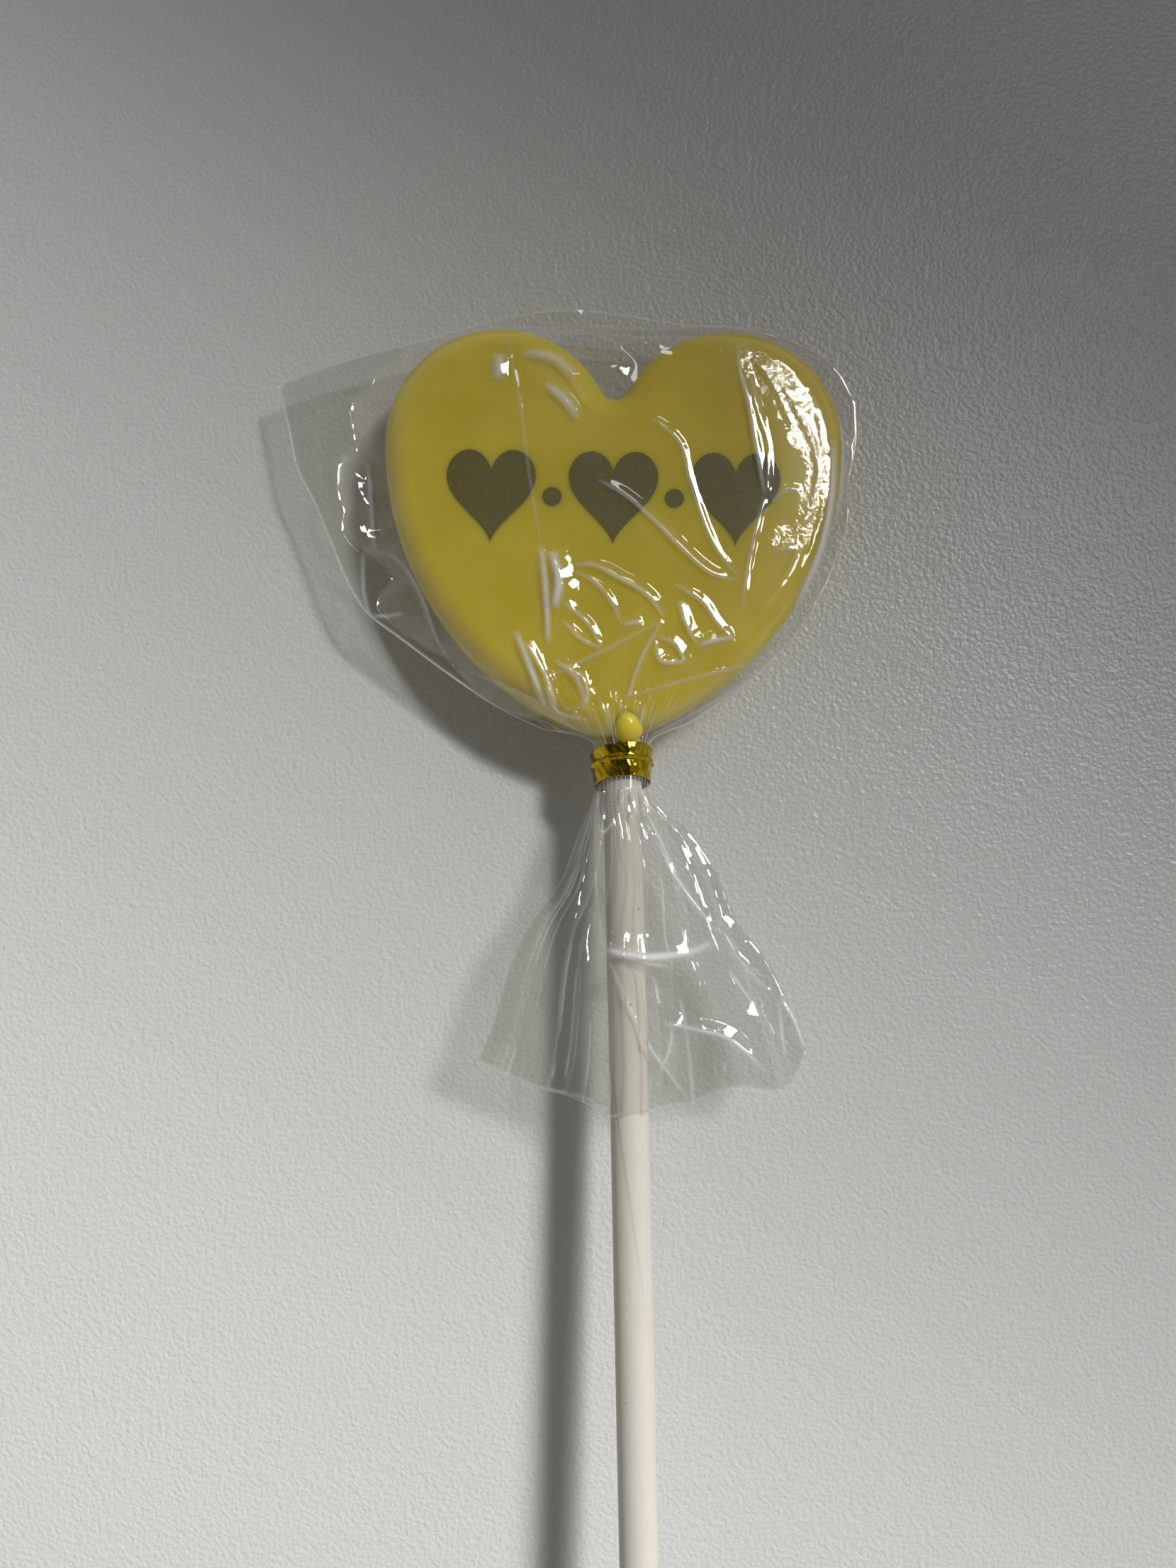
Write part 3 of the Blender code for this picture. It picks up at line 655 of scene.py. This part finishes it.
class BuildCandy(bpy.types.Operator):
    """Heart and drop: outlines stacked over the crown, the rounded edge and the wall down to the
    flat back, and a stretched ball.
    """
    bl_idname = "lollipop.candy"
    bl_label = "Candy"

    def ring(self, grow, height):
        """The heart's outline moved out by grow, at a height above the mid-plane."""
        outline = heart_outline(grow)
        return np.column_stack((outline, np.full(len(outline), MID_Z + height)))

    def execute(self, context):
        material = candy_material(context.scene.lollipop_candy)
        upper = []
        for depth in np.linspace(RIM_WIDTH + CROWN_WIDTH, RIM_WIDTH, 30)[:-1]:
            upper.append(self.ring(-depth, HALF_HEIGHT - CROWN + float(crown(depth))))
        for angle in np.linspace(math.pi / 2, 0, 28):
            inward = RIM_WIDTH * (math.cos(angle) - 1)
            upper.append(self.ring(inward, WALL - CROWN + RIM_RISE * math.sin(angle)))
        upper = np.array(upper)
        fade = np.clip((upper[..., 2] - MID_Z) / HALF_HEIGHT, 0, 1)
        upper[..., 2] += fade * candy_swell(upper[..., 0], upper[..., 1])
        lower = []
        for angle in np.linspace(0, math.pi / 2, 16):
            inward = RIM_WIDTH * (math.cos(angle) - 1)
            lower.append(self.ring(inward, -WALL - RIM_RISE * math.sin(angle)))
        heart = skin("candy_heart", np.concatenate((upper, lower)), around=True, caps=True)
        dress(heart, material, "candy", "candy")

        cap = 0.04
        up = np.linspace(cap, math.pi - cap, 40)[:, None]
        around = np.linspace(0, 2 * math.pi, 64, endpoint=False)[None]
        x = np.sin(up) * np.cos(around)
        y = np.sin(up) * np.sin(around)
        z = np.cos(up) * np.ones_like(around)
        swell = 1 + 0.02 * np.sin(3 * around + 2) * np.sin(up) + 0.02 * np.sin(5 * up)
        ball = np.stack((x, y, z), axis=-1) * swell[..., None] * DROP_RADII + DROP_CENTRE
        drop = skin("candy_drop", ball, around=True, caps=True)
        dress(drop, material, "candy", "candy")
        return {"FINISHED"}


class BuildPrint(bpy.types.Operator):
    """Printed row: small hearts with dots between, each a thin patch that follows the candy's face."""
    bl_idname = "lollipop.print"
    bl_label = "Print"

    def execute(self, context):
        settings = context.scene.lollipop_candy
        material = ink_material(settings)
        width, height = settings.print_width / MM, settings.print_height / MM
        count = settings.print_count
        # Half a heart's width and a dot's radius beside a heart's height, and the ink's lift
        half_width, dot_radius, lift = 0.47, 0.1, 0.025
        pitch = (width - 2 * half_width * height) / (count - 1)
        row_y = 3.1
        turns = np.linspace(0, 2 * math.pi, 97)[:-1]
        tall = 13 * np.cos(turns) - 5 * np.cos(2 * turns) - 2 * np.cos(3 * turns) - np.cos(4 * turns)
        heart = np.column_stack((half_width * np.sin(turns) ** 3, tall / 29 + 0.08))
        dot = np.column_stack((np.cos(turns), np.sin(turns))) * dot_radius
        for k in range(2 * count - 1):
            kind, shape = ("dot", dot) if k % 2 else ("heart", heart)
            spot = np.array(((k - count + 1) * pitch / 2, row_y))
            rings = []
            for shrink in (0.05, 0.2, 0.35, 0.5, 0.65, 0.8, 0.95, 0.998, 1.0):
                flat = spot + shape * shrink * height
                x, y = placed(flat[:, 0], flat[:, 1])
                rings.append(np.column_stack((x, y, MID_Z + candy_rise(x, y) + lift)))
            rings.append(rings[-1] - (0, 0, 2 * lift))
            piece = skin(f"print_{kind}_{k // 2 + 1}", np.array(rings), around=True, caps=True)
            dress(piece, material, "print")
        return {"FINISHED"}


class BuildStick(bpy.types.Operator):
    """Stick: a circle carried along Y, turned in at both ends, with the paper's seam winding round."""
    bl_idname = "lollipop.stick"
    bl_label = "Stick"

    def execute(self, context):
        material = paper_material(context.scene.lollipop_stick)
        low, high = STICK_LOW[1], STICK_HIGH[1]
        edge = 0.35
        turn_in = np.linspace(0, math.pi / 2, 6)
        end_along = edge * (1 - np.cos(turn_in))
        end_radius = STICK_RADIUS - edge * (1 - np.sin(turn_in))
        middle = np.linspace(low + edge, high - edge, 240)[1:-1]
        along = np.concatenate((low + end_along, middle, high - end_along[::-1]))[:, None]
        straight = np.full(len(middle), STICK_RADIUS)
        radius = np.concatenate((end_radius, straight, end_radius[::-1]))[:, None]
        angles = np.linspace(0, 2 * math.pi, 120, endpoint=False)[None]
        winding, step = 0.06, 0.05
        wound = np.mod((angles - winding * along) / (2 * math.pi), 1)
        ring = radius - step * (1 - wound) ** 2
        x, z = ring * np.cos(angles), ring * np.sin(angles)
        points = np.stack((x, along + 0 * angles, MID_Z + z), axis=-1)
        stick = skin("paper_stick", points, around=True, caps=True)
        dress(stick, material, "stick", "stick")
        return {"FINISHED"}


class BuildTie(bpy.types.Operator):
    """Band: a slightly flared thin wall with a ridge, carried round the neck aslant, with dents."""
    bl_idname = "lollipop.tie"
    bl_label = "Gold band"

    def execute(self, context):
        settings = context.scene.lollipop_tie
        material = gold_material(settings)
        height, foot, top, wall = 3.7, 3.15, 3.35, 0.22
        steps = np.linspace(0, 1, 40)
        ridge = 0.28 * np.exp(-((steps - 0.58) / 0.07) ** 2)
        ridge -= 0.05 * np.exp(-((steps - 0.5) / 0.04) ** 2)
        inner = foot + (top - foot) * steps
        outer = inner + wall + ridge + 0.15 * steps ** 4
        radius = np.concatenate((outer, inner[::-1]))[None]
        along = (np.concatenate((steps, steps[::-1])) * height - height / 2)[None]
        angles = np.linspace(0, 2 * math.pi, 220, endpoint=False)[:, None]
        mean = 3.4
        dents = waves(mean * np.cos(angles), along + mean * np.sin(angles), 11, 6, 0.7, 3.2)
        dents = dents * settings.crinkle / MM
        facets = 0.06 * np.abs(np.sin(4.5 * angles + 0.4)) * (1 - 0.4 * along / height)
        outside = np.arange(2 * len(steps))[None] < len(steps)
        skinned = np.where(outside, radius + dents - facets, radius)
        x, z = skinned * np.cos(angles), skinned * np.sin(angles)
        lean_up, lean_across = 0.29, 0.06
        y = BAND_MIDDLE + along + lean_up * z + lean_across * x
        band = skin("gold_band", np.stack((x, y, MID_Z + z), axis=-1), around=True)
        turn_outward(band.data, bridged=True)
        band.data.shade_smooth()
        dress(band, material, "tie", "tie")
        return {"FINISHED"}


def under_band(x, y):
    """The most that the film may stand off the stick's axis: inside the band where the band is."""
    room = np.sqrt(np.maximum(BAND_ROOM ** 2 - x ** 2, 0.04))
    return room + 3.0 * np.maximum(np.abs(y - BAND_MIDDLE) - BAND_REACH, 0)


def pouch_rise(x, y, margin, front):
    """How far the taut film stands off the mid-plane.

    It runs straight from the bag's edge until it touches the candy's rounded edge, follows
    that oval up to the front, and spans the notch. Widths are drawn in to make the oval a
    circle, whose centre stands as high as the wall.
    """
    radius = RIM_RISE + FILM_ROOM
    centre = WALL - CROWN if front else WALL
    inside = inside_distance(x, y, spanned=True)
    opening = FLAP_OPENING * (1 + 0.3 * waves(x, y, 12, 4, 4.0, 14.0))
    margin = margin - 1.5 * np.logaddexp(0, (margin - inside - opening) / 1.5)
    depth = inside * RIM_RISE / RIM_WIDTH
    drawn = np.maximum(margin, 0) * RIM_RISE / RIM_WIDTH
    width = np.maximum(drawn - depth, 0.1) + RIM_RISE
    angle = np.arctan2(centre, width) + np.arcsin(radius / np.hypot(width, centre))
    reach = RIM_RISE - np.minimum(depth, RIM_RISE)
    on_circle = centre + np.sqrt(np.maximum(radius ** 2 - reach ** 2, 0))
    straight = np.minimum(drawn * np.tan(angle), centre + radius)
    rise = np.where(drawn > width - radius * np.sin(angle), on_circle, straight)
    return rise + crown(inside) if front else rise


def pouch_grid(columns, rows):
    """Places over the bag above the tie, across between its sides and down from its top edge to
    the neck, with half the bag's width at each row and the way in from the bag's edge.
    """
    left_side, right_side = through(LEFT_SIDE, 400), through(RIGHT_SIDE, 400)
    way = np.interp(np.linspace(0, 1, rows), (0, 0.04, 1), (0, 0.004, 1))[:, None]
    share = np.interp(np.linspace(0, 1, columns), (0, 0.03, 0.97, 1), (0, 0.003, 0.997, 1))[None]
    left, right = rows_at(left_side, way[:, 0]), rows_at(right_side, way[:, 0])
    half = (right[:, :1] - left[:, :1]) / 2
    neck = np.clip((12 - half) / 9, 0, 1) ** 1.5
    bow = (1 - np.cos(math.pi * share)) / 2
    across = share + (bow - share) * neck
    edge = through(TOP_EDGE, 120)
    along = (edge[:, 0] - edge[0, 0]) / (edge[-1, 0] - edge[0, 0])
    arch = np.interp(across, along, edge[:, 1] - edge[0, 1] - along * (edge[-1, 1] - edge[0, 1]))
    x = left[:, :1] + (right[:, :1] - left[:, :1]) * across
    y = left[:, 1:] + (right[:, 1:] - left[:, 1:]) * across + arch * (1 - way) ** 3
    outline = np.vstack((left_side[::-4], edge[1:-1], right_side[::4]))
    return x, y, half, way_to_line(x, y, outline)[0]


def pouch_sheet(settings, side, columns, rows, creases, seed):
    """One sheet of the bag above the tie, the front with side 1 and the back with side -1."""
    x, y, half, margin = pouch_grid(columns, rows)
    bow = np.sin(math.pi * np.linspace(0, 1, columns))[None]
    gather = NECK_RADIUS * bow ** np.maximum(1.0, 0.8 * half / NECK_RADIUS)
    rise = np.maximum(pouch_rise(x, y, margin, side > 0), gather)
    near = np.exp(-np.maximum(half - 3, 0) / 5)
    strength = np.clip(margin / 1.5, 0, 1)
    angle = np.arctan2(x, -(y - GATHER_Y))
    radial = np.sin(46 * angle + 3 * np.sin(0.35 * y))
    radial += 0.6 * np.sin(83 * angle + 2 * np.sin(0.5 * y + 1))
    folds = settings.gathers / MM * near * np.abs(radial) * strength
    soft = settings.slack / MM * (1 + 0.6 * waves(x, y, seed, 5, 6.0, 18.0)) * np.clip(margin / 3, 0, 1)
    pressed, lines = ridges(x, y, creases)
    pressed = pressed * np.clip(margin / 0.6, 0, 1)
    fold = FOLD_RADIUS * np.sqrt(1 - (1 - np.clip(margin / FOLD_RADIUS, 0, 1)) ** 2)
    loose = np.clip(margin / 3, 0, 1) * np.clip(-inside_distance(x, y) / 2 + 0.25, 0.25, 1)
    rise = np.maximum(rise, fold) + folds + np.maximum(soft, 0) + pressed
    rise += loose * np.abs(crumple(x, y, seed))
    if side < 0:
        rise = np.minimum(rise, MID_Z + BACK_SAG)
    rise = np.minimum(rise, under_band(x, y))
    # White lines at the neck's gathers and along the bag's edge, partly the film's own whitening and partly
    # painted highlight
    gathered = 0.7 * near * np.clip((np.abs(radial) - 1.0) / 0.25, 0, 1) * strength
    lines = np.maximum.reduce([lines, gathered, 0.7 * np.exp(-(margin / LINE_WIDTH) ** 2)])
    return np.stack((x, y, MID_Z + side * rise), axis=-1), lines


def mark(thing, name, values):
    """Stores a value for each of a piece's points, for its material to read."""
    layer = thing.data.attributes.new(name, "FLOAT", "POINT")
    layer.data.foreach_set("value", np.ravel(values).astype(np.float32))


def hang(name, points, lines, material, flip=False):
    """One sheet of film as a piece, with the strength of its white lines, partly painted highlight, stored
    on its points.
    """
    sheet = skin(name, points, flip=flip)
    mark(sheet, "fold", lines)
    dress(sheet, material, "film", "bag")
    return sheet


class BuildBag(bpy.types.Operator):
    """Bag above the tie: a front and a back sheet of film, taut round the heart and gathered below."""
    bl_idname = "lollipop.bag"
    bl_label = "Bag"

    def execute(self, context):
        settings = context.scene.lollipop_film
        material = film_material(settings)
        points, lines = pouch_sheet(settings, 1, 330, 290, FRONT_CREASES, 21)
        front = hang("film_front", points, lines, material)
        way, _ = way_to_line(points[..., 0], points[..., 1], through(CLINGING, 30))
        mark(front, "cling", np.exp(-(way / CLINGING_WIDTH) ** 2))
        points, lines = pouch_sheet(settings, -1, 160, 140, (), 22)
        hang("film_back", points, lines, material, flip=True)
        return {"FINISHED"}


def zigzag(turn):
    """A wave of straight flanks with slightly rounded corners: the arc sine of a sine."""
    return np.arcsin(0.985 * np.sin(turn)) / math.asin(0.985)


def skirt_sheet(settings, side, columns, rows, creases, folds):
    """One sheet of the open skirt: a fan round the stick whose pleats turn over on themselves.

    Across, each pleat adds a zigzag to the even spacing, large enough to fold back, and a
    second zigzag a quarter behind lifts it off the sheet. Fine gathers stand at the neck and die
    away below it, and the sheet ends in the side folds.
    """
    left, right = through(SKIRT_LEFT, rows), through(SKIRT_RIGHT, rows)
    way = np.linspace(0, 1, rows)[:, None]
    share = np.interp(np.linspace(0, 1, columns), (0, 0.03, 0.97, 1), (0, 0.005, 0.995, 1))
    even = np.linspace(0, 1, 2001)
    pleats = np.interp(even, folds, np.arange(len(folds)))
    spread = np.hanning(161)
    padded = np.pad(pleats, len(spread) // 2, mode="reflect", reflect_type="odd")
    smooth = np.convolve(padded, spread / spread.sum(), "valid")
    turn = 2 * math.pi * np.interp(share, even, smooth)[None]
    pleat_width = 1 / np.interp(share, even, np.gradient(smooth, even))[None]
    share = share[None]
    width = right[:, :1] - left[:, :1]
    open_out = np.clip(way * 3, 0, 1) ** 1.5
    ends = np.clip(np.minimum(share, 1 - share) * 14, 0, 1)
    narrow = np.minimum(pleat_width, WIDE_PLEAT)
    lean = settings.overlap * narrow * zigzag(turn) * ends * (0.35 + 0.65 * open_out)
    bow = (1 - np.cos(math.pi * share)) / 2
    across = bow + (share - bow) * np.clip(way * 5, 0, 1) + lean
    x = left[:, :1] + width * across
    y = left[:, 1:] + (right[:, 1:] - left[:, 1:]) * across
    hem = np.array(HEM)
    along = (hem[:, 0] - hem[0, 0]) / (hem[-1, 0] - hem[0, 0])
    sag = hem[0, 1] + (hem[-1, 1] - hem[0, 1]) * along - hem[:, 1]
    y = y - np.interp(across, along, sag) * way ** 2
    round_part = NECK_RADIUS * np.sin(math.pi * share)
    tent = 0.2 + (STICK_RADIUS + 0.15) * np.exp(-(np.maximum(np.abs(x) - 1.6, 0) / 3.2) ** 2)
    side_fold = np.sqrt(1 - (1 - np.clip(np.minimum(share, 1 - share) * 80, 0, 1)) ** 2)
    rise = (round_part * (1 - open_out) + tent * open_out) * side_fold
    height = np.minimum(0.16 * pleat_width * width, 0.55) * (0.25 + 0.75 * open_out)
    pleat = height * narrow / pleat_width * (1 + zigzag(turn - math.pi / 2)) * ends
    gathers = NECK_GATHERS * 2 * math.pi * share + 2 * np.sin(9 * way)
    gathered = np.exp(-way / 0.15)
    pleat = pleat + 0.14 * gathered * (1 + zigzag(gathers)) * ends
    if creases:
        for route in (SKIRT_ARC, SKIRT_PATCH):
            off, _ = way_to_line(x, y, through(route, 24))
            pleat = pleat * (1 - SMOOTHED_SHARE * np.exp(-(off / SMOOTHED_REACH) ** 2))
    soft = (0.05 * waves(x, y, 31 + side, 4, 7.0, 18.0) + 0.4 * crumple(x, y, 41 + side)) * open_out
    pressed, lines = ridges(x, y, creases)
    stand = np.minimum(rise + pleat + side * (soft + pressed), under_band(x, y))
    z = MID_Z + side * stand
    # White lines where the pleats turn over, at the neck's gathers and along the hem, partly the film's own
    # whitening and partly painted highlight
    broken = np.clip(0.5 + waves(x, y, 51, 4, 3.0, 11.0), 0, 1)
    turned = 0.3 * np.clip((np.abs(zigzag(turn)) - 0.95) / 0.04, 0, 1) * ends * broken
    hem_line = 0.25 * np.exp(-((1 - way) * SKIRT_LENGTH / LINE_WIDTH) ** 2)
    necks = gathered * np.clip((zigzag(gathers) - 0.8) / 0.15, 0, 1) * ends
    lines = np.maximum.reduce([lines, turned, necks, hem_line * np.ones_like(share)])
    return np.stack((x, y, np.maximum(z, LEAST_HEIGHT)), axis=-1), lines


class BuildSkirt(bpy.types.Operator):
    """Skirt: the same two sheets below the tie, fanned out in leaning pleats round the stick."""
    bl_idname = "lollipop.skirt"
    bl_label = "Skirt"

    def execute(self, context):
        settings = context.scene.lollipop_film
        material = film_material(settings)
        points, lines = skirt_sheet(settings, 1, 420, 220, SKIRT_CREASES, SKIRT_FOLDS)
        hang("film_skirt_front", points, lines, material)
        points, lines = skirt_sheet(settings, -1, 300, 160, (), BACK_FOLDS)
        hang("film_skirt_back", points, lines, material, flip=True)
        return {"FINISHED"}


def heading(bearing, elevation):
    """The direction to a light, from its bearing and its elevation in degrees."""
    turn, rise = math.radians(bearing), math.radians(elevation)
    return Vector((math.cos(rise) * math.cos(turn), math.cos(rise) * math.sin(turn), math.sin(rise)))


def soft_light(name, toward, distance, size, power, shown=True):
    """An oblong softbox in a direction and at a distance from the heart, turned to face it.

    One that isn't shown lights no matt surface, and is only mirrored by the glossy ones.
    """
    data = bpy.data.lights.new(name, "AREA")
    data.shape = "RECTANGLE"
    data.size, data.size_y = size
    data.energy = power
    light = placed_object(name, data)
    light.location = Vector(LIT_SPOT) + toward * distance
    light.rotation_mode = "QUATERNION"
    light.rotation_quaternion = toward.to_track_quat("Z", "Y")
    light.visible_diffuse = shown


class BuildStage(bpy.types.Operator):
    """Stage: plain pale floor, a soft window from the upper right, and the photograph's camera."""
    bl_idname = "lollipop.stage"
    bl_label = "Stage"

    def flag(self, toward):
        """A board part way to the window that only casts shadow, so that the floor is dimmer towards
        the upper right, as it is in the photograph.
        """
        side = Vector((-toward.y, toward.x, 0)).normalized()
        upward = toward.cross(side)
        turn = math.radians(FLAG_TURN)
        across = side * math.cos(turn) + upward * math.sin(turn)
        upward = upward * math.cos(turn) - side * math.sin(turn)
        middle = toward * FLAG_DISTANCE
        corners = [middle + across * a * FLAG_REACH + upward * b
                   for a, b in ((-1, FLAG_EDGE), (1, FLAG_EDGE), (1, -FLAG_REACH), (-1, -FLAG_REACH))]
        mesh = bpy.data.meshes.new("flag")
        mesh.from_pydata([tuple(corner) for corner in corners], [], [(0, 1, 2, 3)])
        board = placed_object("flag", mesh)
        for rays in ("camera", "diffuse", "glossy", "transmission", "volume_scatter"):
            setattr(board, f"visible_{rays}", False)

    def execute(self, context):
        settings = context.scene.lollipop_stage
        grid = np.linspace(-FLOOR_REACH, FLOOR_REACH, 3)
        x, y = np.meshgrid(grid, grid)
        z = FLOOR_GAP + (y - FLOOR_PIVOT) * math.tan(settings.floor_slope)
        floor = skin("floor", np.stack((x, y, z), axis=-1))
        material, tree, place = new_material("pale textured laminate")
        grain = relief(tree, noise(tree, place, 0.55, 1.0), 0.5, 0.3)
        shader = add(tree, "BsdfPrincipled", {
            "Base Color": (*settings.floor, 1), "Roughness": 0.36, "Normal": grain,
        })
        floor.data.materials.append(finished(material, shader))

        toward = heading(*WINDOW_HEADING)
        soft_light("window", toward, WINDOW_DISTANCE, WINDOW_SIZE, WINDOW_POWER)
        self.flag(toward)
        for k, (bearing, power) in enumerate(CARDS):
            toward = heading(bearing, CARD_ELEVATION)
            soft_light(f"card_{k + 1}", toward, CARD_DISTANCE, CARD_SIZE, power, shown=False)
        world = bpy.data.worlds.new("soft room")
        world.use_nodes = True
        nodes = world.node_tree
        way = add(nodes, "TexCoord").outputs["Generated"]
        glow = add(nodes, "MapRange", {
            "Value": add(nodes, "SeparateXYZ", {0: way}).outputs["Z"],
            "To Min": ROOM_AT_EYE_LEVEL, "To Max": ROOM_OVERHEAD,
        })
        background = nodes.nodes["Background"]
        background.inputs["Color"].default_value = (1.0, 0.99, 0.97, 1)
        nodes.links.new(glow.outputs[0], background.inputs["Strength"])
        context.scene.world = world
        context.scene.view_settings.view_transform = "Standard"

        data = bpy.data.cameras.new("camera")
        data.lens = 27.0
        data.sensor_width = 36.0
        camera = placed_object("camera", data)
        up = Vector((math.sin(settings.roll), math.cos(settings.roll), 0))
        target = Vector((*PHOTO_MIDDLE, MID_Z)) * MM
        back = Vector((0, 0, 1)) * math.cos(settings.tilt) - up * math.sin(settings.tilt)
        right = up.cross(back).normalized()
        turned = Matrix((right, back.cross(right), back)).transposed()
        camera.matrix_world = Matrix.Translation(target + back * settings.height) @ turned.to_4x4()
        context.scene.camera = camera
        return {"FINISHED"}


class LollipopPanel(bpy.types.Panel):
    """The settings and the buttons that build each piece."""
    bl_idname = "VIEW3D_PT_lollipop"
    bl_label = "Lollipop"
    bl_space_type = "VIEW_3D"
    bl_region_type = "UI"
    bl_category = "Lollipop"

    def draw(self, context):
        for group in SETTINGS:
            box = self.layout.box()
            for name in SETTINGS[group].__annotations__:
                box.prop(getattr(context.scene, group), name)
        for operator in OPERATORS:
            self.layout.operator(operator.bl_idname)


SETTINGS = {
    "lollipop_candy": CandySettings,
    "lollipop_film": FilmSettings,
    "lollipop_tie": TieSettings,
    "lollipop_stick": StickSettings,
    "lollipop_stage": StageSettings,
}
OPERATORS = (BuildStage, BuildCandy, BuildPrint, BuildStick, BuildTie, BuildBag, BuildSkirt)


def register():
    for kind in (*SETTINGS.values(), *OPERATORS, LollipopPanel):
        bpy.utils.register_class(kind)
    for name, kind in SETTINGS.items():
        setattr(bpy.types.Scene, name, PointerProperty(type=kind))


def unregister():
    for name in SETTINGS:
        delattr(bpy.types.Scene, name)
    for kind in (LollipopPanel, *reversed(OPERATORS), *reversed(SETTINGS.values())):
        bpy.utils.unregister_class(kind)


def main():
    """Builds every piece."""
    register()
    bpy.ops.lollipop.stage()
    bpy.ops.lollipop.candy()
    bpy.ops.lollipop.print()
    bpy.ops.lollipop.stick()
    bpy.ops.lollipop.tie()
    bpy.ops.lollipop.bag()
    bpy.ops.lollipop.skirt()


if __name__ == "__main__":
    main()
